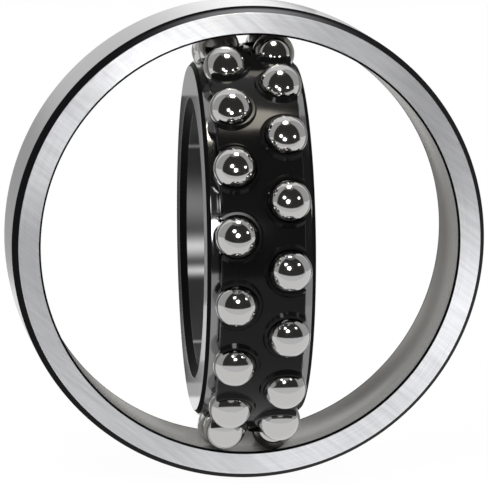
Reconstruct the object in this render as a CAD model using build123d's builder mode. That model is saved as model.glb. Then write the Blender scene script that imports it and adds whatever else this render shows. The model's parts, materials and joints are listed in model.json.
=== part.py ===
from build123d import *
from math import atan2, cos, degrees, radians, sin, sqrt
import os

# Self-aligning ball bearing: two rows of balls run in grooves on the inner ring and on one
# hollow sphere inside the outer ring, so the inner group can swivel out of the outer ring.
# The origin is the centre of that sphere. The outer ring's axis is Y, its front faces -Y,
# and the inner group stands swivelled about the upright Z axis.

# Driving sizes, in millimetres
bore_diameter = 50.0
bore_to_ball_centres = 11.8
ball_diameter = 7.94
running_clearance = 0.03
outer_wall = 4.2
ring_width = 20.0
row_gap = 1.78
balls_per_row = 18

# Rings: edges, the shoulders beside the grooves, and how closely a groove wraps a ball
seat_chamfer_radial = 1.1
seat_chamfer_axial = 2.0
raceway_edge_radius = 0.4
bore_chamfer_radial = 1.6
bore_chamfer_axial = 1.3
shoulder_chamfer = 0.7
shoulder_height = 0.95
groove_conformity = 1.04

# Cage: play round each ball and over the inner ring, height of the band over the ball centres,
# and how far the balls stand out of its ends
pocket_clearance = 0.12
shoulder_gap = 0.95
cage_height_over_centres = 0.1
balls_proud_of_cage = 1.1
cage_edge_radius = 0.3

# Pockets: the sloping collar round each one, how much narrower than the ball its mouth is on
# either side, and the rounding of the claws, which runs a little past the ends of the band
collar_height = 0.4
collar_wall = 0.45
collar_flare = 0.7
mouth_bite = 0.8
claw_tip_radius = 0.6
claw_tip_overrun = 0.05

# Pose of the inner group: its axis is turned this far from the outer ring's axis
swivel_angle = 87.6
left_row_first_ball_angle = 9.0

# Running surfaces, worked out from the driving sizes
ball_radius = ball_diameter / 2
bore_radius = bore_diameter / 2
half_width = ring_width / 2
centre_distance = bore_radius + bore_to_ball_centres
row_offset = (ball_diameter + row_gap) / 2
pitch_radius = sqrt(centre_distance**2 - row_offset**2)
contact_angle = degrees(atan2(row_offset, pitch_radius))
raceway_radius = centre_distance + ball_radius + running_clearance
outer_radius = raceway_radius + outer_wall

# Inner ring grooves: each arc is centred on the line from the origin through the ball centres
groove_radius = ball_radius * groove_conformity
groove_distance = centre_distance - ball_radius - running_clearance + groove_radius
groove_offset = groove_distance * sin(radians(contact_angle))
groove_pitch_radius = groove_distance * cos(radians(contact_angle))
shoulder_radius = groove_pitch_radius - groove_radius + shoulder_height

# Cage band, the cones of its collars, and the outline of a pocket's mouth
pocket_radius = ball_radius + pocket_clearance
cage_inner_radius = shoulder_radius + shoulder_gap
cage_outer_radius = pitch_radius + cage_height_over_centres
cage_half_width = row_offset + ball_radius - balls_proud_of_cage
band_thickness = cage_outer_radius - cage_inner_radius
collar_top = cage_height_over_centres + collar_height
collar_root = cage_height_over_centres - band_thickness / 2
collar_top_radius = pocket_radius + collar_wall
collar_root_radius = collar_top_radius + collar_flare * (collar_top - collar_root)
mouth_half_width = ball_radius - mouth_bite
mouth_flare = mouth_half_width + claw_tip_radius
claw_end = ball_radius - balls_proud_of_cage + claw_tip_overrun

# Directions: along the shaft, level and square to it towards the front, and up
up = Vector(0, 0, 1)
shaft_axis = Vector(sin(radians(swivel_angle)), -cos(radians(swivel_angle)), 0)
forward = shaft_axis.cross(up)
ring_axis_line = Axis((0, 0, 0), (0, -1, 0))
shaft_axis_line = Axis((0, 0, 0), shaft_axis)

# Profile planes: local x runs outwards from the axis, local y along it
ring_profile = Plane(origin=(0, 0, 0), x_dir=(0, 0, 1), z_dir=(1, 0, 0))
shaft_profile = Plane(origin=(0, 0, 0), x_dir=up, z_dir=up.cross(shaft_axis))

on_base = (Align.CENTER, Align.CENTER, Align.MIN)
ball_pitch_angle = 360 / balls_per_row
rows = [
    ("left", -1, left_row_first_ball_angle),
    ("right", 1, left_row_first_ball_angle + ball_pitch_angle / 2),
]


def ball_planes(side, first_angle):
    """Planes at the ball centres of one row, facing outwards, local x towards the cage's near end.

    Angles run round the shaft from the front upwards.
    """
    planes = []
    for i in range(balls_per_row):
        angle = radians(first_angle + i * ball_pitch_angle)
        outwards = forward * cos(angle) + up * sin(angle)
        centre = shaft_axis * side * row_offset + outwards * pitch_radius
        planes.append(Plane(origin=centre, x_dir=shaft_axis * side, z_dir=outwards))
    return planes


def ring_section(inner, outer, half):
    """Rectangle of a turned ring in the profile plane, from inner to outer radius."""
    with Locations(((inner + outer) / 2, 0)):
        Rectangle(outer - inner, 2 * half)


os.makedirs("parts", exist_ok=True)

# Outer ring: a turned ring, its inside one hollow sphere, its seat edges chamfered longer along
# the axis than across the face, as on rolled rings
with BuildPart() as outer_ring:
    with BuildSketch(ring_profile) as ring_sketch:
        ring_section(raceway_radius - outer_wall, outer_radius, half_width)
        for side_edge in ring_sketch.edges().filter_by(Axis.X):
            seat_corner = side_edge.vertices().sort_by(Axis.X)[-1]
            chamfer(seat_corner, seat_chamfer_radial, seat_chamfer_axial, reference=side_edge)
        Circle(raceway_radius, mode=Mode.SUBTRACT)
        fillet(ring_sketch.vertices().group_by(Axis.X)[0], raceway_edge_radius)
    revolve(axis=ring_axis_line)
outer_ring.part.label = "outer_ring"
export_step(outer_ring.part, "parts/outer_ring.step")

# Inner ring: bore, side faces and shoulders turned, then one groove for each row
with BuildPart() as inner_ring:
    with BuildSketch(shaft_profile) as inner_section:
        ring_section(bore_radius, shoulder_radius, half_width)
        for side_edge in inner_section.edges().filter_by(Axis.X):
            bore_corner = side_edge.vertices().sort_by(Axis.X)[0]
            chamfer(bore_corner, bore_chamfer_radial, bore_chamfer_axial, reference=side_edge)
        chamfer(inner_section.vertices().group_by(Axis.X)[-1], shoulder_chamfer)
        with Locations((groove_pitch_radius, -groove_offset), (groove_pitch_radius, groove_offset)):
            Circle(groove_radius, mode=Mode.SUBTRACT)
    revolve(axis=shaft_axis_line)
inner_ring.part.label = "inner_ring"
export_step(inner_ring.part, "parts/inner_ring.step")

# Cage: one moulded band with rounded edges; a cone makes the collar of each pocket, and the
# ends are trimmed flat; then the round pockets are cut, each open at its end of the band
# through a mouth narrower than the ball, between two claws with round tips
with BuildPart() as cage:
    with BuildSketch(shaft_profile) as cage_section:
        ring_section(cage_inner_radius, cage_outer_radius, cage_half_width)
        fillet(cage_section.vertices(), cage_edge_radius)
    revolve(axis=shaft_axis_line)
    pockets = [plane for row_name, side, first_angle in rows for plane in ball_planes(side, first_angle)]
    with Locations(*pockets):
        with Locations((0, 0, collar_root)):
            Cone(collar_root_radius, collar_top_radius, collar_top - collar_root, align=on_base)
    with BuildSketch(shaft_profile):
        for end in (-1, 1):
            with Locations((cage_outer_radius, end * (cage_half_width + collar_root_radius))):
                Rectangle(2 * collar_root_radius, 2 * collar_root_radius)
    revolve(axis=shaft_axis_line, mode=Mode.SUBTRACT)
    with Locations(*pockets):
        Sphere(pocket_radius, mode=Mode.SUBTRACT)
    with BuildSketch(*pockets):
        with BuildLine():
            wall = Line((0, mouth_half_width), (claw_end - claw_tip_radius, mouth_half_width))
            tip = TangentArc(wall @ 1, (claw_end, mouth_flare), tangent=wall % 1)
            end_line = Line(tip @ 1, (claw_end + claw_tip_radius, mouth_flare))
            Line(wall @ 0, (0, 0))
            Line(end_line @ 1, (claw_end + claw_tip_radius, 0))
            mirror(about=Plane.XZ)
        make_face()
    extrude(amount=ball_radius, both=True, mode=Mode.SUBTRACT)
cage.part.label = "cage"
export_step(cage.part, "parts/cage.step")

# Balls: two rows, the right row turned by half a pitch against the left one
for row_name, side, first_angle in rows:
    for number, seat in enumerate(ball_planes(side, first_angle), start=1):
        ball_name = f"ball_{row_name}_{number:02d}"
        with BuildPart(seat) as ball:
            Sphere(ball_radius)
        ball.part.label = ball_name
        export_step(ball.part, f"parts/{ball_name}.step")

print(f"outer diameter {2 * outer_radius:.3f}, contact angle {contact_angle:.2f} degrees")
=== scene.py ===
import json
from math import asin, atan2, cos, log, pi, radians, sin, sqrt

import bpy
import numpy as np
from bpy.props import FloatProperty, FloatVectorProperty, IntProperty, PointerProperty
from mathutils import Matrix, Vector


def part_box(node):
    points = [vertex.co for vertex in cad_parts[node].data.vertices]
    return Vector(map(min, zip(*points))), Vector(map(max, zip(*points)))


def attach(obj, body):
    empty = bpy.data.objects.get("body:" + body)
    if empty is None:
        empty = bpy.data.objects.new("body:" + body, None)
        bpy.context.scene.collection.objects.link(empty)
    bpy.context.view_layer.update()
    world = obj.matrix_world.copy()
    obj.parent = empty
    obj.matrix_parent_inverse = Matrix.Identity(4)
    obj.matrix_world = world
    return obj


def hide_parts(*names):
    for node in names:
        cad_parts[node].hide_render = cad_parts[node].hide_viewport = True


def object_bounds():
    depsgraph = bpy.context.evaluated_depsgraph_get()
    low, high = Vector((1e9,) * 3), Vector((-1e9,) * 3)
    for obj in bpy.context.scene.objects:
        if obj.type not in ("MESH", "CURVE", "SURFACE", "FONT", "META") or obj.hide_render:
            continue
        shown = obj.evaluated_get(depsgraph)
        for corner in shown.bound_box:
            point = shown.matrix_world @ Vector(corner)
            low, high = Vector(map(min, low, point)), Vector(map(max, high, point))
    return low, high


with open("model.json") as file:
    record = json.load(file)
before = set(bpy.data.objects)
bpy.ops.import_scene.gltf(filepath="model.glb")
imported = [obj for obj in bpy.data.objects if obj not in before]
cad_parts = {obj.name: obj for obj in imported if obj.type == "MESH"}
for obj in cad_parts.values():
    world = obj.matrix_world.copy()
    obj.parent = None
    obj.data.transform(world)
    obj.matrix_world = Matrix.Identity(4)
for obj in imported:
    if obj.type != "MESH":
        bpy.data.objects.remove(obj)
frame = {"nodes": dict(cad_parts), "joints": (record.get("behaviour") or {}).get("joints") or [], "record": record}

bl_info = {
    "name": "Self-aligning ball bearing",
    "version": (1, 0, 0),
    "blender": (4, 5, 0),
    "location": "View3D > Sidebar > Bearing",
    "description": "Rings, cage and balls of a self-aligning ball bearing, with a studio to show them",
    "category": "Add Mesh",
}

MM = 0.001
CAD_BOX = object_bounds()
RECORD = frame["record"]
JOINTS = {joint["name"]: joint for joint in frame["joints"]}
MOUNTS = {mount["name"]: mount for mount in RECORD["mounts"]}


def node_points(name):
    """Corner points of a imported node, as an array of rows."""
    mesh = frame["nodes"][name].data
    flat = np.empty(len(mesh.vertices) * 3)
    mesh.vertices.foreach_get("co", flat)
    return flat.reshape(-1, 3)


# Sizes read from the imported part, in metres
BALLS = sorted(name for name in frame["nodes"] if name.startswith("ball_"))
BALL_CENTRES = {name: np.array(JOINTS[name + "_spin"]["pos_m"]) for name in BALLS}
RING_AXIS = np.array(MOUNTS["outer_seat"]["axis"], float)
SHAFT_AXIS = np.array(MOUNTS["shaft_bore"]["axis"], float)
BALL_RADIUS = float(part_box(BALLS[0])[1].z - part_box(BALLS[0])[0].z) / 2
RING_RADIUS = MOUNTS["outer_seat"]["dims"]["r_mm"] * MM
BORE_RADIUS = MOUNTS["shaft_bore"]["dims"]["r_mm"] * MM
HALF_WIDTH = float(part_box("outer_ring")[1].y)
RACEWAY_RADIUS = float(np.linalg.norm(node_points("outer_ring"), axis=1).min())
CENTRE_DISTANCE = float(np.linalg.norm(BALL_CENTRES[BALLS[0]]))
ROW_OFFSET = float(abs(BALL_CENTRES[BALLS[0]] @ SHAFT_AXIS))
RUNNING_CLEARANCE = RACEWAY_RADIUS - CENTRE_DISTANCE - BALL_RADIUS
FLOOR_HEIGHT = float(CAD_BOX[0].z)


def across(points, axis):
    """Distances of points from an axis through the origin."""
    return np.linalg.norm(points - np.outer(points @ axis, axis), axis=1)


SHOULDER_RADIUS = float(across(node_points("inner_ring"), SHAFT_AXIS).max())


class BearingSizes(bpy.types.PropertyGroup):
    """Edge sizes and divisions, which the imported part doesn't state."""

    seat_chamfer_radial: FloatProperty(
        name="Seat chamfer, radial", description="Depth of the outer ring's chamfer on its side face",
        default=1.1 * MM, unit="LENGTH")
    seat_chamfer_axial: FloatProperty(
        name="Seat chamfer, axial", description="Width of the outer ring's chamfer on its seat",
        default=2.0 * MM, unit="LENGTH")
    bore_chamfer_radial: FloatProperty(
        name="Bore chamfer, radial", description="Depth of the bore's chamfer on the side face",
        default=1.6 * MM, unit="LENGTH")
    bore_chamfer_axial: FloatProperty(
        name="Bore chamfer, axial", description="Width of the bore's chamfer along the bore",
        default=1.3 * MM, unit="LENGTH")
    shoulder_chamfer: FloatProperty(
        name="Shoulder chamfer", description="Chamfer between shoulder and side face of the inner ring",
        default=0.7 * MM, unit="LENGTH")
    groove_conformity: FloatProperty(
        name="Groove conformity", description="Groove radius as a multiple of the ball radius", default=1.04)
    broken_edge: FloatProperty(
        name="Broken edge", description="How far a turned edge is rounded off", default=0.12 * MM,
        unit="LENGTH")
    raceway_edge: FloatProperty(
        name="Raceway edge", description="Radius of the rounding between raceway and side face",
        default=0.4 * MM, unit="LENGTH")
    # A narrow band of the raceway beside the rounded edge, in the dark edge finish
    raceway_dark_band: FloatProperty(
        name="Raceway relief", description="Width of the dark turned band beside the edge of the raceway",
        default=0.15 * MM, unit="LENGTH")
    turns: IntProperty(
        name="Segments", description="Faces round each ring", default=240, min=32)
    ball_squares: IntProperty(
        name="Ball squares", description="Squares along each of the six grids of a ball", default=20, min=4)
    mark_pitch: FloatProperty(
        name="Grinding mark pitch", description="Distance between the flanks of the grinding marks",
        default=0.065 * MM, unit="LENGTH")
    mark_tilt: FloatProperty(
        name="Grinding mark tilt", description="Steepest flank of a grinding mark", default=radians(24.0),
        unit="ROTATION")


class SteelLook(bpy.types.PropertyGroup):
    """Colours and finishes of the steel parts."""

    # Face, seat and bore colours are the brightest of painted sheens and painted reflection bands; their finishes
    # scale them down away from the wedges
    face_colour: FloatVectorProperty(
        name="Ground face", description="Side faces of the outer ring where they shine most", subtype="COLOR",
        size=3, default=(0.91, 0.915, 0.94))
    seat_colour: FloatVectorProperty(
        name="Seat", description="Outside of the outer ring", subtype="COLOR", size=3,
        default=(0.99, 0.99, 1.0))
    raceway_colour: FloatVectorProperty(
        name="Raceway", description="Hollow sphere inside the outer ring", subtype="COLOR", size=3,
        default=(0.34, 0.332, 0.312))
    chamfer_colour: FloatVectorProperty(
        name="Chamfer", description="Turned edges left dark by the heat treatment", subtype="COLOR", size=3,
        default=(0.0035, 0.0035, 0.004))
    # Painted highlight: a grey gleam painted on the outer ring's chamfers at the top
    painted_gleam_colour: FloatVectorProperty(
        name="Chamfer gleam", description="Gleam at the top of the outer ring's chamfers", subtype="COLOR",
        size=3, default=(0.13, 0.13, 0.135))
    inner_colour: FloatVectorProperty(
        name="Inner ring", description="Side faces and grooves of the inner ring", subtype="COLOR",
        size=3, default=(0.43, 0.43, 0.435))
    shoulder_colour: FloatVectorProperty(
        name="Shoulders", description="Turned shoulders beside the grooves", subtype="COLOR", size=3,
        default=(0.22, 0.22, 0.222))
    bore_colour: FloatVectorProperty(
        name="Bore", description="Honed bore of the inner ring", subtype="COLOR", size=3,
        default=(0.97, 0.97, 0.98))
    ball_colour: FloatVectorProperty(
        name="Balls", description="Lapped balls", subtype="COLOR", size=3, default=(0.50, 0.495, 0.49))


class CageLook(bpy.types.PropertyGroup):
    """Colour and gloss of the cage."""

    colour: FloatVectorProperty(
        name="Cage", description="Black moulded cage", subtype="COLOR", size=3, default=(0.004, 0.004, 0.004))
    roughness: FloatProperty(
        name="Roughness", description="Roughness of the cage's surface", default=0.14, min=0.0, max=1.0)


class StudioSettings(bpy.types.PropertyGroup):
    """Camera, background and lights."""

    azimuth: FloatProperty(
        name="Azimuth", description="Camera direction round the object, from the front",
        default=radians(-8.2), unit="ROTATION")
    elevation: FloatProperty(
        name="Elevation", description="Camera height over the horizon", default=radians(9.0), unit="ROTATION")
    distance: FloatProperty(
        name="Distance", description="Camera distance", default=0.775, unit="LENGTH")
    pixels_per_metre: FloatProperty(
        name="Pixels per metre", description="Image scale at the centre of the bearing", default=5252.0)
    aim_right: FloatProperty(
        name="Aim to the right", description="Aim point right of the bearing's centre",
        default=0.06 * MM, unit="LENGTH")
    aim_up: FloatProperty(
        name="Aim up", description="Aim point above the bearing's centre", default=-0.94 * MM, unit="LENGTH")
    floor_colour: FloatVectorProperty(
        name="Floor", description="Pale floor", subtype="COLOR", size=3, default=(0.86, 0.86, 0.86))


class Value:
    """A shader socket on which Python's operators add Math nodes."""

    def __init__(self, finish, socket):
        self.finish = finish
        self.socket = socket

    def __add__(self, other):
        return self.finish.math("ADD", self, other)

    def __mul__(self, other):
        return self.finish.math("MULTIPLY", self, other)

    def __sub__(self, other):
        return self.finish.math("SUBTRACT", self, other)

    def __rsub__(self, other):
        return self.finish.math("SUBTRACT", other, self)

    def __truediv__(self, other):
        return self.finish.math("DIVIDE", self, other)

    def __pow__(self, other):
        return self.finish.math("POWER", self, other)


class Finish:
    """A node tree under construction: a material, or the world."""

    def __init__(self, owner):
        owner.use_nodes = True
        self.owner = owner
        self.tree = owner.node_tree
        self.tree.nodes.clear()

    def node(self, kind, settings=None, sockets=None, output=0):
        """Adds a node, sets its settings, then its sockets, and returns one output as a Value."""
        made = self.tree.nodes.new(kind)
        for key, setting in (settings or {}).items():
            setattr(made, key, setting)
        for key, given in (sockets or {}).items():
            socket = made.inputs[key]
            if isinstance(given, Value):
                self.tree.links.new(given.socket, socket)
            elif socket.type == "RGBA":
                socket.default_value = (*tuple(given)[:3], 1.0)
            else:
                socket.default_value = given
        return Value(self, made.outputs[output]) if made.outputs else None

    def math(self, operation, *numbers, clamp=False):
        """A Math node on values or numbers."""
        settings = {"operation": operation, "use_clamp": clamp}
        return self.node("ShaderNodeMath", settings, dict(enumerate(numbers)))

    def place(self):
        """Object coordinates, output 3 of their node, whole and split into x, y and z."""
        point = self.node("ShaderNodeTexCoord", output=3)
        return point, [self.node("ShaderNodeSeparateXYZ", None, {0: point}, output=i) for i in range(3)]

    def noise(self, place, patches, detail, roughness=0.5):
        """Soft noise around 0.5, with that many patches to each unit of the place."""
        return self.node("ShaderNodeTexNoise", None,
                         {"Vector": place, "Scale": patches, "Detail": detail, "Roughness": roughness})

    def blend(self, share, low, high):
        """A colour between low and high, by the Mix node's colour sockets 6 and 7 and output 2."""
        return self.node("ShaderNodeMix", {"data_type": "RGBA"}, {0: share, 6: low, 7: high}, output=2)

    def shade(self, colour, level):
        """A colour times a varying level."""
        return self.node("ShaderNodeVectorMath", {"operation": "SCALE"}, {0: tuple(colour), "Scale": level})

    def done(self, shader):
        """Puts the shader in the material's output, and returns the material."""
        self.node("ShaderNodeOutputMaterial", None, {"Surface": shader})
        return self.owner

    def material(self, colour, roughness, metallic=1.0, specular=0.5):
        """The finished material with one shader, from numbers, colours or values."""
        return self.done(self.node("ShaderNodeBsdfPrincipled", None, {
            "Base Color": colour, "Roughness": roughness, "Metallic": metallic,
            "Specular IOR Level": specular}))


def new_finish(name):
    """A finish to work on, with a new material."""
    return Finish(bpy.data.materials.new(name))


def between(share, low, high):
    """The value at that share of the way from low to high."""
    return share * (high - low) + low


# Outlines and meshes

# Points along the arcs of turned parts
DARK_BAND_STEPS = 4
EDGE_STEPS = 7
RACEWAY_STEPS = 49
GROOVE_STEPS = 25

# How uneven the grinding marks are, and how fast that changes from mark to mark
MARK_UNEVENNESS = 0.45
MARK_BEAT = 7.3

# Beside a softened corner, points are kept from this share of the softening length on
SOFTENING_SLACK = 0.999

# Decimals to which the points on the seams of a ball's grids agree
SEAM_DECIMALS = 9


class Outline:
    """A closed outline in a plane through the axis: radius outwards, height along the axis."""

    def __init__(self):
        self.points = []
        self.tilts = []
        self.marks = []
        self.corners = []

    def stretch(self, zone, points, soften=0.0, tilts=None):
        """Adds a stretch of the outline in one finish; its first point is softened by that length.

        Tilts turn the surface's normal at each point, as the marks of a grinding wheel do.
        """
        self.marks.append((len(self.points), zone))
        self.corners.append((len(self.points), soften))
        self.points.extend(points)
        self.tilts.extend(np.zeros(len(points)) if tilts is None else tilts)

    def follow(self, zone, soften):
        """Lets another finish start at the last point, which is softened by that length."""
        self.marks.append((len(self.points) - 1, zone))
        self.corners.append((len(self.points) - 1, soften))

    def ground(self, zone, start, end, soften, pitch, tilt):
        """Adds a straight ground stretch: marks at that pitch, their flanks tilted by turns to either
        side, by tilt * (1 - unevenness + unevenness * sin(beat * k)) at mark k."""
        count = max(2, int(np.hypot(end[0] - start[0], end[1] - start[1]) / pitch))
        k = np.arange(count)
        places = np.outer(1 - k / count, start) + np.outer(k / count, end)
        steepness = tilt * (1 - MARK_UNEVENNESS + MARK_UNEVENNESS * np.sin(MARK_BEAT * k))
        flanks = np.where(k % 2 == 0, steepness, -steepness)
        flanks[0] = 0.0
        self.stretch(zone, places.tolist(), soften, flanks)

    def softened(self, steps=5):
        """The outline with its corners rounded, the tilt of each point and the zone of each edge.

        A corner P is replaced by the curve (1-t)^2 A + 2t(1-t) P + t^2 B, where A and B lie
        before and behind it on the outline at the softening length.
        """
        points = np.array(self.points)
        loop = np.vstack([points, points[:1]])
        along = np.concatenate([[0.0], np.cumsum(np.linalg.norm(np.diff(loop, axis=0), axis=1))])
        whole = along[-1]

        def at(s):
            return np.array([np.interp(s % whole, along, loop[:, k]) for k in range(2)])

        keep = np.ones(len(points), bool)
        extra = []
        for index, cut in self.corners:
            if cut <= 0:
                continue
            middle = along[index]
            gap = np.abs((along[:-1] - middle + whole / 2) % whole - whole / 2)
            keep &= gap >= cut * SOFTENING_SLACK
            start, end = at(middle - cut), at(middle + cut)
            for t in np.linspace(0, 1, steps):
                bend = (1 - t) ** 2 * start + 2 * t * (1 - t) * points[index] + t ** 2 * end
                extra.append(((middle + (2 * t - 1) * cut) % whole, bend, 0.0))
        places = list(zip(along[:-1][keep], points[keep], np.array(self.tilts)[keep])) + extra
        places.sort(key=lambda trio: trio[0])
        spots = np.array([place for place, _, _ in places])
        rounded = np.array([point for _, point, _ in places])
        tilts = np.array([tilt for _, _, tilt in places])
        middles = (spots + np.diff(np.append(spots, spots[0] + whole)) / 2) % whole
        starts = np.array([along[index] for index, _ in self.marks])
        order = np.searchsorted(starts, middles, side="right") - 1
        return rounded, tilts, [self.marks[i][1] for i in order]


def arc(centre, radius, start, end, steps):
    """Points of an arc from angle start to end, measured from the radius direction to the axis."""
    angles = np.linspace(start, end, steps)
    return (np.array(centre) + radius * np.column_stack([np.cos(angles), np.sin(angles)])).tolist()


def grid_faces(rows, columns):
    """Square faces of a grid of points that are numbered row by row."""
    grid = np.arange(rows * columns).reshape(rows, columns)
    return np.stack([grid[:-1, :-1], grid[1:, :-1], grid[1:, 1:], grid[:-1, 1:]], axis=-1).reshape(-1, 4)


def new_mesh_object(name, points, faces, normals=None, zones=None, materials=()):
    """A smooth mesh object at the origin from arrays of points, faces and corner normals."""
    mesh = bpy.data.meshes.new(name)
    mesh.from_pydata(points.tolist(), [], faces.tolist())
    mesh.polygons.foreach_set("use_smooth", np.ones(len(faces), bool))
    for material in materials:
        mesh.materials.append(material)
    if zones is not None:
        mesh.polygons.foreach_set("material_index", np.asarray(zones, np.int32))
    mesh.update()
    if normals is not None:
        mesh.normals_split_custom_set_from_vertices(normals.tolist())
    made = bpy.data.objects.new(name, mesh)
    bpy.context.scene.collection.objects.link(made)
    return made


def lathe(name, outline, axis, turns, finishes):
    """Carries an outline round an axis through the origin.

    Point (i, j) is height_j * axis + radius_j * (cos a_i * side + sin a_i * other), with side and
    other square to the axis. Its normal is the outline's normal there, averaged over the two
    edges beside it by their length and turned by the outline's tilt, carried round in the same way.
    """
    profile, tilts, edge_zones = outline.softened()
    following = np.roll(profile, -1, axis=0)
    edges = following - profile
    if np.sum(profile[:, 0] * following[:, 1] - following[:, 0] * profile[:, 1]) < 0:
        raise ValueError(f"the outline of {name} runs the wrong way round")
    edge_normals = np.column_stack([edges[:, 1], -edges[:, 0]])
    corner_normals = edge_normals + np.roll(edge_normals, 1, axis=0)
    corner_normals /= np.linalg.norm(corner_normals, axis=1)[:, None]
    sideways = np.column_stack([corner_normals[:, 1], -corner_normals[:, 0]])
    corner_normals = corner_normals * np.cos(tilts)[:, None] + sideways * np.sin(tilts)[:, None]
    up = np.array([0.0, 0.0, 1.0])
    side = np.cross(axis, up)
    angles = np.linspace(0, 2 * pi, turns, endpoint=False)
    spokes = np.outer(np.cos(angles), side) + np.outer(np.sin(angles), up)
    points = spokes[:, None, :] * profile[None, :, :1] + axis * profile[None, :, 1:]
    normals = spokes[:, None, :] * corner_normals[None, :, :1] + axis * corner_normals[None, :, 1:]
    count = len(profile)
    i, j = np.meshgrid(np.arange(turns), np.arange(count), indexing="ij")
    next_i, next_j = (i + 1) % turns, (j + 1) % count
    corners = [i * count + j, next_i * count + j, next_i * count + next_j, i * count + next_j]
    faces = np.stack(corners, axis=-1).reshape(-1, 4)
    flat_points = points.reshape(-1, 3)
    first = flat_points[faces[0]]
    facing = np.cross(first[1] - first[0], first[3] - first[0]) @ normals.reshape(-1, 3)[faces[0][0]]
    if facing < 0:
        faces = faces[:, ::-1]
    names = list(finishes)
    zones = np.tile([names.index(zone) for zone in edge_zones], turns)
    return new_mesh_object(name, flat_points, faces, normals.reshape(-1, 3), zones, list(finishes.values()))


def outer_ring_outline(sizes):
    """The outer ring's section: raceway arc, side faces, chamfers and seat, anticlockwise."""
    edge = sizes.raceway_edge
    edge_height = HALF_WIDTH - edge
    edge_middle = sqrt((RACEWAY_RADIUS + edge) ** 2 - edge_height ** 2)
    edge_angle = atan2(edge_height, edge_middle)
    # A narrow dark band runs on from the rounded edge into the raceway, in the edge's finish
    dark_band_angle = edge_angle - sizes.raceway_dark_band / RACEWAY_RADIUS
    face_radius = RING_RADIUS - sizes.seat_chamfer_radial
    seat_half = HALF_WIDTH - sizes.seat_chamfer_axial
    outline = Outline()
    outline.stretch("edge", arc((0.0, 0.0), RACEWAY_RADIUS, -dark_band_angle, -edge_angle, DARK_BAND_STEPS)[:-1])
    outline.stretch("edge", arc((edge_middle, -edge_height), edge, pi - edge_angle, 1.5 * pi,
                                EDGE_STEPS)[:-1])
    outline.ground("face", (edge_middle, -HALF_WIDTH), (face_radius, -HALF_WIDTH), 0.0, sizes.mark_pitch,
                   sizes.mark_tilt)
    outline.stretch("chamfer", [(face_radius, -HALF_WIDTH)], sizes.broken_edge)
    outline.stretch("seat", [(RING_RADIUS, -seat_half)], sizes.broken_edge)
    outline.stretch("chamfer", [(RING_RADIUS, seat_half)], sizes.broken_edge)
    outline.ground("face", (face_radius, HALF_WIDTH), (edge_middle, HALF_WIDTH), sizes.broken_edge,
                   sizes.mark_pitch, sizes.mark_tilt)
    outline.stretch("edge", arc((edge_middle, edge_height), edge, 0.5 * pi, pi + edge_angle,
                                EDGE_STEPS)[:-1])
    outline.stretch("edge", arc((0.0, 0.0), RACEWAY_RADIUS, edge_angle, dark_band_angle, DARK_BAND_STEPS)[:-1])
    outline.stretch("raceway", arc((0.0, 0.0), RACEWAY_RADIUS, dark_band_angle, -dark_band_angle,
                                   RACEWAY_STEPS)[:-1])
    return outline


def inner_ring_outline(sizes):
    """The inner ring's section: bore, faces, chamfers, shoulders and two grooves, anticlockwise."""
    groove_radius = BALL_RADIUS * sizes.groove_conformity
    groove_distance = CENTRE_DISTANCE - BALL_RADIUS - RUNNING_CLEARANCE + groove_radius
    contact = asin(ROW_OFFSET / CENTRE_DISTANCE)
    centre_height = groove_distance * sin(contact)
    centre_radius = groove_distance * cos(contact)
    reach = asin((centre_radius - SHOULDER_RADIUS) / groove_radius)
    bore_half = HALF_WIDTH - sizes.bore_chamfer_axial
    bore_mouth = BORE_RADIUS + sizes.bore_chamfer_radial
    corner = sizes.shoulder_chamfer
    outline = Outline()
    outline.stretch("bore chamfer", [(BORE_RADIUS, -bore_half)], sizes.broken_edge)
    outline.stretch("face", [(bore_mouth, -HALF_WIDTH)], sizes.broken_edge)
    outline.stretch("chamfer", [(SHOULDER_RADIUS - corner, -HALF_WIDTH)], sizes.broken_edge)
    outline.stretch("shoulder", [(SHOULDER_RADIUS, -HALF_WIDTH + corner)], sizes.broken_edge)
    for place in (-centre_height, centre_height):
        groove = arc((centre_radius, place), groove_radius, 1.5 * pi - reach, 0.5 * pi + reach, GROOVE_STEPS)
        outline.stretch("groove", groove, sizes.broken_edge)
        outline.follow("shoulder", sizes.broken_edge)
    outline.stretch("chamfer", [(SHOULDER_RADIUS, HALF_WIDTH - corner)], sizes.broken_edge)
    outline.stretch("face", [(SHOULDER_RADIUS - corner, HALF_WIDTH)], sizes.broken_edge)
    outline.stretch("bore chamfer", [(bore_mouth, HALF_WIDTH)], sizes.broken_edge)
    outline.stretch("bore", [(BORE_RADIUS, bore_half)], sizes.broken_edge)
    return outline


def ball_surface(centre, radius, divisions):
    """A closed ball from six square grids, without poles.

    Each grid runs over angles from -45 to 45 degrees; its point is the unit vector along
    (1, tan u, tan v), turned to the six sides of a cube, times the radius, plus the centre.
    """
    tangents = np.tan(np.linspace(-pi / 4, pi / 4, divisions + 1))
    u, v = np.meshgrid(tangents, tangents, indexing="ij")
    ones = np.ones_like(u)
    sides = [(ones, u, v), (-ones, v, u), (v, ones, u), (u, -ones, v), (u, v, ones), (v, u, -ones)]
    squares = grid_faces(*u.shape)
    points = np.concatenate([np.stack(side, axis=-1).reshape(-1, 3) for side in sides])
    points /= np.linalg.norm(points, axis=1)[:, None]
    faces = np.concatenate([squares + k * u.size for k in range(len(sides))])
    _, first, merged = np.unique(np.round(points, SEAM_DECIMALS), axis=0, return_index=True,
                                 return_inverse=True)
    points, faces = points[first], merged.reshape(-1)[faces]
    return points * radius + centre, faces, points


# Finishes

# Patches of noise to the metre
OXIDE_PATCHES = 900.0
CAGE_PATCHES = 300.0
BORE_PATCHES = 120.0
STEEL_PATCHES = 40.0

# How far oxide and cloud take a colour or a roughness up and down, as a share of it
OXIDE_DEPTH = 0.4
CLOUD_DEPTH = 0.15

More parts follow.
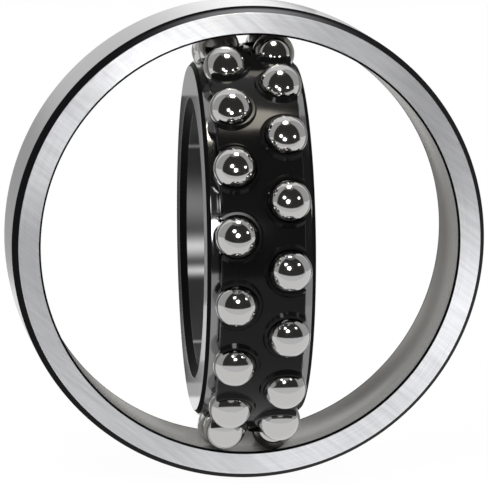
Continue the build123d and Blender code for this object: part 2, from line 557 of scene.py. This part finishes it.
# The blackened edges mirror next to nothing, and the cage's polymer little
BLACKENED_SPECULAR = 0.01
POLYMER_SPECULAR = 0.13

# How far cloud takes the cage's roughness up and down
POLYMER_CLOUD = 0.04

# Streaks across a ground face: their direction, patches to the metre along and beside it, and depth
STREAK_DIRECTION = (0.78, -0.62)
STREAK_GRAIN = (60.0, 950.0)
STREAK_DEPTH = 0.55

# Marks that run round a ground face: patches to the radian, and to the metre outwards, and depth
MARK_GRAIN = (3.0, 5200.0)
MARK_DEPTH = 0.25

# The painted gleam of a chamfer starts at this share of the way from seat to face, and how fast it rises
PAINTED_GLEAM_START = 0.3
PAINTED_GLEAM_RISE = 4.0

# Wedges of painted sheen on a ground face, standing in for highlights: direction from the right over the top,
# half-width and gain
FACE_PAINTED_WEDGES = (
    (radians(-17), radians(27), 0.48),
    (radians(98), radians(20), 0.60),
    (radians(155), radians(14), 0.38),
    (radians(-78), radians(20), 0.43),
    (radians(-130), radians(20), 0.07),
)
FACE_DULLEST = 0.45

# The same painted sheen for the seat, and the painted gleam at the top of the outer ring's chamfers
SEAT_PAINTED_WEDGES = (
    (radians(90), radians(15), 0.62),
    (radians(182), radians(22), 0.38),
    (radians(0), radians(30), 0.33),
    (radians(-90), radians(30), 0.33),
)
SEAT_DULLEST = 0.31
CHAMFER_PAINTED_WEDGES = ((radians(90), radians(13), 1.0),)

# Painted reflections: bright bands along the bore, by the angle round the shaft from its far side upwards
BORE_PAINTED_BANDS = (
    (radians(-12.7), radians(3.5), 1.0),
    (radians(-23.8), radians(1.9), 0.80),
    (radians(6), radians(8), 0.28),
    (radians(36.5), radians(0.8), 0.25),
    (radians(-62.5), radians(0.8), 0.25),
    (radians(104), radians(5), 0.30),
    (radians(150), radians(13), 0.45),
    (radians(-168), radians(4), 0.60),
    (radians(-128), radians(10), 0.35),
)
BORE_DULLEST = 0.04


def painted_sheen(finish, level, upright, painted_wedges, dullest):
    """Painted brightness round an axis, for painted sheens and painted reflections: dullest + sum of gain * ((1 +
    cos(angle - middle)) / 2) ** falloff.
    """
    direction = finish.math("ARCTAN2", upright, level)
    shine = dullest
    for middle, half_width, gain in painted_wedges:
        falloff = log(0.5) / log((1 + cos(half_width)) / 2)
        nearness = finish.math("COSINE", direction - middle) * 0.5 + 0.5
        shine = nearness ** falloff * gain + shine
    return shine


def dark_edge(name, colour):
    """A turned edge, blackened by the heat treatment."""
    finish = new_finish(name)
    point, _ = finish.place()
    oxide = finish.noise(point, OXIDE_PATCHES, detail=2.0)
    low, high = ([share * c for c in colour] for share in (1 - OXIDE_DEPTH, 1 + OXIDE_DEPTH))
    return finish.material(finish.blend(oxide, low, high), roughness=between(oxide, 0.3, 0.5), metallic=0.0,
                           specular=BLACKENED_SPECULAR)


def plain_steel(name, colour, roughness, metallic=1.0):
    """Honed or lapped steel with a faint cloud in its gloss."""
    finish = new_finish(name)
    point, _ = finish.place()
    cloud = finish.noise(point, STEEL_PATCHES, detail=1.0)
    low, high = (1 - CLOUD_DEPTH) * roughness, (1 + CLOUD_DEPTH) * roughness
    return finish.material(colour, roughness=between(cloud, low, high), metallic=metallic)


def ground_face(name, colour):
    """Side face ground on a rotary table, with painted sheen in wedges round the ring standing in for highlights,
    faint streaks across it where the wheel ran out, and fine marks that run round it."""
    finish = new_finish(name)
    _, (x, _, z) = finish.place()
    # Painted sheen: the face's colour rises in wedges round the ring, standing in for the lamps' highlights
    painted_wedge = painted_sheen(finish, x, z, FACE_PAINTED_WEDGES, FACE_DULLEST)
    right, up = STREAK_DIRECTION
    along, beside = x * right + z * up, x * -up + z * right
    grain = finish.node("ShaderNodeCombineXYZ", None,
                        {0: along * STREAK_GRAIN[0], 1: beside * STREAK_GRAIN[1], 2: 0.0})
    streaks = finish.noise(grain, 1.0, detail=3.0, roughness=0.65)
    radius = (x * x + z * z) ** 0.5
    around = finish.node("ShaderNodeCombineXYZ", None, {
        0: x / radius * MARK_GRAIN[0], 1: z / radius * MARK_GRAIN[0], 2: radius * MARK_GRAIN[1]})
    marks = finish.noise(around, 1.0, detail=2.0)
    level = (streaks - 0.5) * STREAK_DEPTH + (marks - 0.5) * MARK_DEPTH + 1.0
    return finish.material(finish.shade(colour, painted_wedge * level), roughness=between(marks, 0.25, 0.35),
                           metallic=0.55)


def ring_chamfer(name, colour, painted_gleam_colour, width):
    """The outer ring's blackened chamfer, with a painted grey gleam near the face at the top."""
    finish = new_finish(name)
    _, (x, _, z) = finish.place()
    depth = (RING_RADIUS - (x * x + z * z) ** 0.5) / width
    near_face = finish.math("MULTIPLY", depth - PAINTED_GLEAM_START, PAINTED_GLEAM_RISE, clamp=True)
    # Painted highlight: a grey gleam near the face, at the top of the ring
    gleam = painted_sheen(finish, x, z, CHAMFER_PAINTED_WEDGES, dullest=0.0)
    return finish.material(finish.blend(gleam * near_face, colour, painted_gleam_colour), roughness=0.4,
                           metallic=0.0, specular=BLACKENED_SPECULAR)


def ring_seat(name, colour):
    """The ground seat, with painted sheen that is brightest at the top, standing in for a glancing reflection of
    the sky.
    """
    finish = new_finish(name)
    point, (x, _, z) = finish.place()
    cloud = finish.noise(point, STEEL_PATCHES, detail=1.0)
    # Painted sheen, brightest at the top, standing in for a glancing reflection of the sky
    shine = painted_sheen(finish, x, z, SEAT_PAINTED_WEDGES, SEAT_DULLEST)
    return finish.material(finish.shade(colour, shine), roughness=between(cloud, 0.24, 0.32))


def honed_bore(name, colour):
    """The bore: painted reflections stand in bands along the shaft, with a faint cloud over them."""
    finish = new_finish(name)
    point, (x, y, z) = finish.place()
    far_side = x * -SHAFT_AXIS[1] + y * SHAFT_AXIS[0]
    # Painted reflections: bright bands along the bore at set angles round the shaft
    streaks = painted_sheen(finish, far_side, z, BORE_PAINTED_BANDS, BORE_DULLEST)
    cloud = finish.noise(point, BORE_PATCHES, detail=2.0)
    level = streaks * between(cloud, 1 - CLOUD_DEPTH, 1 + CLOUD_DEPTH)
    return finish.material(finish.shade(colour, level), roughness=between(cloud, 0.2, 0.3), metallic=0.1)


def black_moulding(name, colour, roughness):
    """The cage's black polymer."""
    finish = new_finish(name)
    point, _ = finish.place()
    cloud = finish.noise(point, CAGE_PATCHES, detail=2.0)
    low, high = roughness - POLYMER_CLOUD, roughness + POLYMER_CLOUD
    return finish.material(colour, roughness=between(cloud, low, high), metallic=0.0,
                           specular=POLYMER_SPECULAR)


def stage_emitter(name, colour, strength=1.0):
    """A plain glowing surface for the studio's curtains, cards and lamps."""
    finish = new_finish(name)
    return finish.done(finish.node("ShaderNodeEmission", None, {"Color": colour, "Strength": strength}))


def camera_glossy_share(finish):
    """1 for what the camera, gloss and glass see, 0 for diffuse light."""
    rays = finish.tree.nodes.new("ShaderNodeLightPath")
    camera, gloss, glass = (Value(finish, rays.outputs[f"Is {kind} Ray"])
                            for kind in ("Camera", "Glossy", "Transmission"))
    return finish.math("MAXIMUM", finish.math("MAXIMUM", camera, gloss), glass)


# Pieces

class BEARING_OT_outer_ring(bpy.types.Operator):
    """Build the outer ring with its spherical raceway"""

    bl_idname = "bearing.outer_ring"
    bl_label = "Outer Ring"

    def execute(self, context):
        sizes, look = context.scene.bearing_sizes, context.scene.steel_look
        finishes = {
            "face": ground_face("ground_face", look.face_colour),
            "edge": dark_edge("raceway_edge", look.chamfer_colour),
            "chamfer": ring_chamfer("ring_chamfer", look.chamfer_colour, look.painted_gleam_colour,
                                    sizes.seat_chamfer_radial),
            "seat": ring_seat("ring_seat", look.seat_colour),
            "raceway": plain_steel("raceway", look.raceway_colour, roughness=0.24, metallic=0.5),
        }
        ring = lathe("outer_ring_turned", outer_ring_outline(sizes), RING_AXIS, sizes.turns, finishes)
        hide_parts("outer_ring")
        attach(ring, "outer_ring")
        return {"FINISHED"}


class BEARING_OT_inner_ring(bpy.types.Operator):
    """Build the inner ring with its bore and two grooves"""

    bl_idname = "bearing.inner_ring"
    bl_label = "Inner Ring"

    def execute(self, context):
        sizes, look = context.scene.bearing_sizes, context.scene.steel_look
        finishes = {
            "bore": honed_bore("bore", look.bore_colour),
            "bore chamfer": dark_edge("bore_chamfer", look.chamfer_colour),
            "face": plain_steel("inner_face", look.inner_colour, roughness=0.14),
            "chamfer": dark_edge("inner_chamfer", look.chamfer_colour),
            "shoulder": plain_steel("shoulder", look.shoulder_colour, roughness=0.12),
            "groove": plain_steel("groove", look.inner_colour, roughness=0.08),
        }
        ring = lathe("inner_ring_turned", inner_ring_outline(sizes), SHAFT_AXIS, sizes.turns, finishes)
        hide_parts("inner_ring")
        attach(ring, "inner_ring")
        return {"FINISHED"}


class BEARING_OT_balls(bpy.types.Operator):
    """Build both rows of balls"""

    bl_idname = "bearing.balls"
    bl_label = "Balls"

    def execute(self, context):
        sizes, look = context.scene.bearing_sizes, context.scene.steel_look
        lapped = plain_steel("lapped_ball", look.ball_colour, roughness=0.11)
        for name in BALLS:
            points, faces, normals = ball_surface(BALL_CENTRES[name], BALL_RADIUS, sizes.ball_squares)
            ball = new_mesh_object(name + "_lapped", points, faces, normals, materials=[lapped])
            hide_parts(name)
            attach(ball, name)
        return {"FINISHED"}


class BEARING_OT_cage(bpy.types.Operator):
    """Give the cage its glossy black finish"""

    bl_idname = "bearing.cage"
    bl_label = "Cage"

    def execute(self, context):
        look = context.scene.cage_look
        cage = frame["nodes"]["cage"]
        cage.data.materials.clear()
        cage.data.materials.append(black_moulding("black_cage", look.colour, look.roughness))
        return {"FINISHED"}


# Studio: sizes and places in metres, directions in degrees

# The photograph's width in pixels, and the camera's sensor in millimetres
IMAGE_WIDTH = 488
SENSOR_WIDTH = 36

# The floor lies a little under the mats; a share of it shows plain white to the camera and in gloss
FLOOR_HALF = 4.0
FLOOR_DROP = 0.05 * MM
FLOOR_WHITE = 0.965

# Strength of the sky as a light, and as it is seen
SKY_LIGHT = 0.8
SKY_SEEN = 1.0

# Shades of the curtains and cards, which are seen in reflections alone
SHADES = {
    "dark_curtain": (0.045, 0.044, 0.042),
    "dim_ceiling": (0.27, 0.27, 0.27),
    "grey_card": (0.42, 0.42, 0.42),
    "side_wall": (0.56, 0.56, 0.56),
    "pale_card": (0.85, 0.85, 0.86),
}

# Curtains on a sphere: azimuths from the front, elevations and shade
CURTAIN_DISTANCE = 1.5
FRONT_AZIMUTHS = (-75, 70)
WALL_ELEVATIONS = (-20, 70)
CURTAINS = {
    "curtain_front": (FRONT_AZIMUTHS, WALL_ELEVATIONS, "dark_curtain"),
    "ceiling": ((-115, 110), (70, 90), "dim_ceiling"),
    "side_left": ((-125, -75), WALL_ELEVATIONS, "side_wall"),
    "side_right": ((70, 125), WALL_ELEVATIONS, "side_wall"),
}
SKY_GRID = (33, 25)

# The dark mat on the floor runs from this distance in front out to the curtain
MAT_START = 0.085
MAT_GRID = (49, 9)

# Cards: centre, half the width and half the height as vectors, and shade
CARDS = {
    "low_card": ((0, -0.083, -0.0295), (0.32, 0, 0), (0, 0, 0.0155), "pale_card"),
    "flag_behind": ((-0.0055, 0.080, -0.0130), (0.0100, 0, 0), (0, 0, 0.0305), "dark_curtain"),
    "apex_mat": ((-0.016, 0.092, FLOOR_HEIGHT), (0.007, 0, 0), (0, 0.020, 0), "grey_card"),
    "flag_back_high": ((0.013, 0.030, 0.027), (0.007, 0, 0), (0, 0, 0.019), "dark_curtain"),
    "back_card": ((0, 0.30, 0), (0.35, 0, 0), (0, 0, 0.045), "grey_card"),
    "back_mat": ((0, 0.2425, FLOOR_HEIGHT), (0.35, 0, 0), (0, 0.0575, 0), "grey_card"),
}

# Round lamps whose spots show in the balls: centre, radius, colour and strength
LAMP_SIDES = 24
LAMPS = {
    "lamp_front": ((-0.008, -0.076, 0.017), 0.0065, (1, 1, 1), 18.0),
    "lamp_left": ((-0.019, -0.064, 0.030), 0.0050, (1, 1, 1), 12.0),
    "lamp_right": ((0.030, -0.062, 0.026), 0.0040, (1, 1, 1), 10.0),
    "lamp_over": ((0.0015, -0.033, 0.085), 0.0100, (1.0, 0.93, 0.80), 24.0),
}

# Wide soft lights: place, size and power in watts
SOFT_LIGHTS = {
    "key": ((-0.5, -0.7, 1.1), 0.6, 14.0),
    "fill": ((0.9, -0.3, 0.7), 0.8, 6.0),
}


def camera_frame(studio):
    """Directions of the camera: towards it, to its right and up."""
    azimuth, elevation = studio.azimuth, studio.elevation
    back = Vector((sin(azimuth) * cos(elevation), -cos(azimuth) * cos(elevation), sin(elevation)))
    right = Vector((cos(azimuth), sin(azimuth), 0.0))
    return back, right, back.cross(right)


def place_camera(scene, studio):
    """A camera that sees the point aimed at from the studio's direction, at the image scale asked for."""
    back, right, up = camera_frame(studio)
    aim = right * studio.aim_right + up * studio.aim_up
    camera = bpy.data.objects.new("camera", bpy.data.cameras.new("camera"))
    camera.data.lens = studio.pixels_per_metre * studio.distance / IMAGE_WIDTH * SENSOR_WIDTH
    camera.data.sensor_width = SENSOR_WIDTH
    camera.location = aim + back * studio.distance
    camera.rotation_euler = (-back).to_track_quat("-Z", "Y").to_euler()
    scene.collection.objects.link(camera)
    scene.camera = camera


def lay_floor(studio):
    """A pale floor, white to the camera and in gloss but for a trace, in which the shadow shows."""
    finish = new_finish("floor")
    shade = finish.node("ShaderNodeBsdfDiffuse", None, {"Color": studio.floor_colour})
    white = finish.node("ShaderNodeEmission", None, {"Color": (1, 1, 1), "Strength": 1.0})
    share = camera_glossy_share(finish) * FLOOR_WHITE
    material = finish.done(finish.node("ShaderNodeMixShader", None, {0: share, 1: shade, 2: white}))
    signs = np.array([(-1, -1), (1, -1), (1, 1), (-1, 1)])
    corners = np.column_stack([signs * FLOOR_HALF, np.full(len(signs), FLOOR_HEIGHT - FLOOR_DROP)])
    floor = new_mesh_object("floor", corners, np.array([[0, 1, 2, 3]]), materials=[material])


def light_world(scene):
    """A white sky, softer as a light than as it is seen."""
    world = bpy.data.worlds.new("studio")
    scene.world = world
    sky = Finish(world)
    light = sky.node("ShaderNodeBackground", None, {"Color": (1, 1, 1), "Strength": SKY_LIGHT})
    seen = sky.node("ShaderNodeBackground", None, {"Color": (1, 1, 1), "Strength": SKY_SEEN})
    both = sky.node("ShaderNodeMixShader", None, {0: camera_glossy_share(sky), 1: light, 2: seen})
    sky.node("ShaderNodeOutputWorld", None, {"Surface": both})


def reflected_only(name, points, faces, material):
    """A mesh of the studio that is seen in reflections alone."""
    thing = new_mesh_object(name, points, faces, materials=[material])
    thing.visible_camera = False
    thing.visible_diffuse = False
    thing.visible_transmission = False
    thing.visible_shadow = False
    thing.visible_volume_scatter = False


def sky_patch(name, azimuths, elevations, distance, material):
    """Part of a sphere round the bearing: point = distance * (sin a cos e, -cos a cos e, sin e)."""
    a, e = np.meshgrid(np.radians(np.linspace(*azimuths, SKY_GRID[0])),
                       np.radians(np.linspace(*elevations, SKY_GRID[1])), indexing="ij")
    points = distance * np.stack([np.sin(a) * np.cos(e), -np.cos(a) * np.cos(e), np.sin(e)], axis=-1)
    reflected_only(name, points.reshape(-1, 3), grid_faces(*a.shape), material)


def floor_sector(name, azimuths, near, far, material):
    """A mat on the floor in front: point = (1-s) * near * (tan a, -1) + s * far * (sin a, -cos a)."""
    a, s = np.meshgrid(np.radians(np.linspace(*azimuths, MAT_GRID[0])), np.linspace(0, 1, MAT_GRID[1]),
                       indexing="ij")
    points = np.stack([(1 - s) * near * np.tan(a) + s * far * np.sin(a),
                       -(1 - s) * near - s * far * np.cos(a), np.full(a.shape, FLOOR_HEIGHT)], axis=-1)
    reflected_only(name, points.reshape(-1, 3), grid_faces(*a.shape), material)


def round_lamp(name, centre, radius, material):
    """A flat round lamp that faces the bearing: point k is the centre plus radius times
    (cos b, sin b) along two directions square to the line from the origin."""
    centre = np.array(centre, float)
    toward = centre / np.linalg.norm(centre)
    level = np.cross(toward, (0.0, 0.0, 1.0))
    level /= np.linalg.norm(level)
    around = np.linspace(0, 2 * pi, LAMP_SIDES, endpoint=False)
    spokes = np.outer(np.cos(around), level) + np.outer(np.sin(around), np.cross(level, toward))
    reflected_only(name, centre + radius * spokes, np.arange(LAMP_SIDES)[None, :], material)


def card(name, centre, half_width, half_height, material):
    """A flat card: its centre, and half its width and height as vectors."""
    centre, wide, high = (np.array(v, float) for v in (centre, half_width, half_height))
    points = np.array([centre - wide - high, centre + wide - high, centre + wide + high,
                       centre - wide + high])
    reflected_only(name, points, np.array([[0, 1, 2, 3]]), material)


def soft_light(scene, name, place, size, power):
    """A square area light that points at the bearing and doesn't show in it."""
    light = bpy.data.lights.new(name, "AREA")
    light.size = size
    light.energy = power
    made = bpy.data.objects.new(name, light)
    made.location = place
    made.rotation_euler = (-Vector(place)).to_track_quat("-Z", "Y").to_euler()
    made.visible_glossy = False
    scene.collection.objects.link(made)


class BEARING_OT_stage(bpy.types.Operator):
    """Set up floor, background, lights and camera"""

    bl_idname = "bearing.stage"
    bl_label = "Studio"

    def execute(self, context):
        scene, studio = context.scene, context.scene.studio
        scene.view_settings.view_transform = "Standard"
        place_camera(scene, studio)
        lay_floor(studio)
        light_world(scene)

        shades = {name: stage_emitter(name, colour) for name, colour in SHADES.items()}
        for name, (azimuths, elevations, shade) in CURTAINS.items():
            sky_patch(name, azimuths, elevations, CURTAIN_DISTANCE, shades[shade])
        floor_sector("dark_mat", FRONT_AZIMUTHS, MAT_START, CURTAIN_DISTANCE, shades["dark_curtain"])
        for name, (centre, half_width, half_height, shade) in CARDS.items():
            card(name, centre, half_width, half_height, shades[shade])
        for name, (centre, radius, colour, strength) in LAMPS.items():
            round_lamp(name, centre, radius, stage_emitter(name, colour, strength))
        for name, (place, size, power) in SOFT_LIGHTS.items():
            soft_light(scene, name, place, size, power)
        return {"FINISHED"}


class BEARING_PT_panel(bpy.types.Panel):
    """Lists the bearing's pieces and the studio in the sidebar"""

    bl_idname = "BEARING_PT_panel"
    bl_label = "Self-Aligning Bearing"
    bl_space_type = "VIEW_3D"
    bl_region_type = "UI"
    bl_category = "Bearing"

    def draw(self, context):
        for name in STEPS:
            self.layout.operator(f"bearing.{name}")


STEPS = ("outer_ring", "inner_ring", "balls", "cage", "stage")
GROUPS = {
    "bearing_sizes": BearingSizes,
    "steel_look": SteelLook,
    "cage_look": CageLook,
    "studio": StudioSettings,
}
CLASSES = (
    *GROUPS.values(),
    BEARING_OT_outer_ring,
    BEARING_OT_inner_ring,
    BEARING_OT_balls,
    BEARING_OT_cage,
    BEARING_OT_stage,
    BEARING_PT_panel,
)


def register():
    for cls in CLASSES:
        bpy.utils.register_class(cls)
    for name, group in GROUPS.items():
        setattr(bpy.types.Scene, name, PointerProperty(type=group))


def unregister():
    for name in GROUPS:
        delattr(bpy.types.Scene, name)
    for cls in reversed(CLASSES):
        bpy.utils.unregister_class(cls)


def main():
    register()
    for name in STEPS:
        getattr(bpy.ops.bearing, name)()


if __name__ == "__main__":
    main()
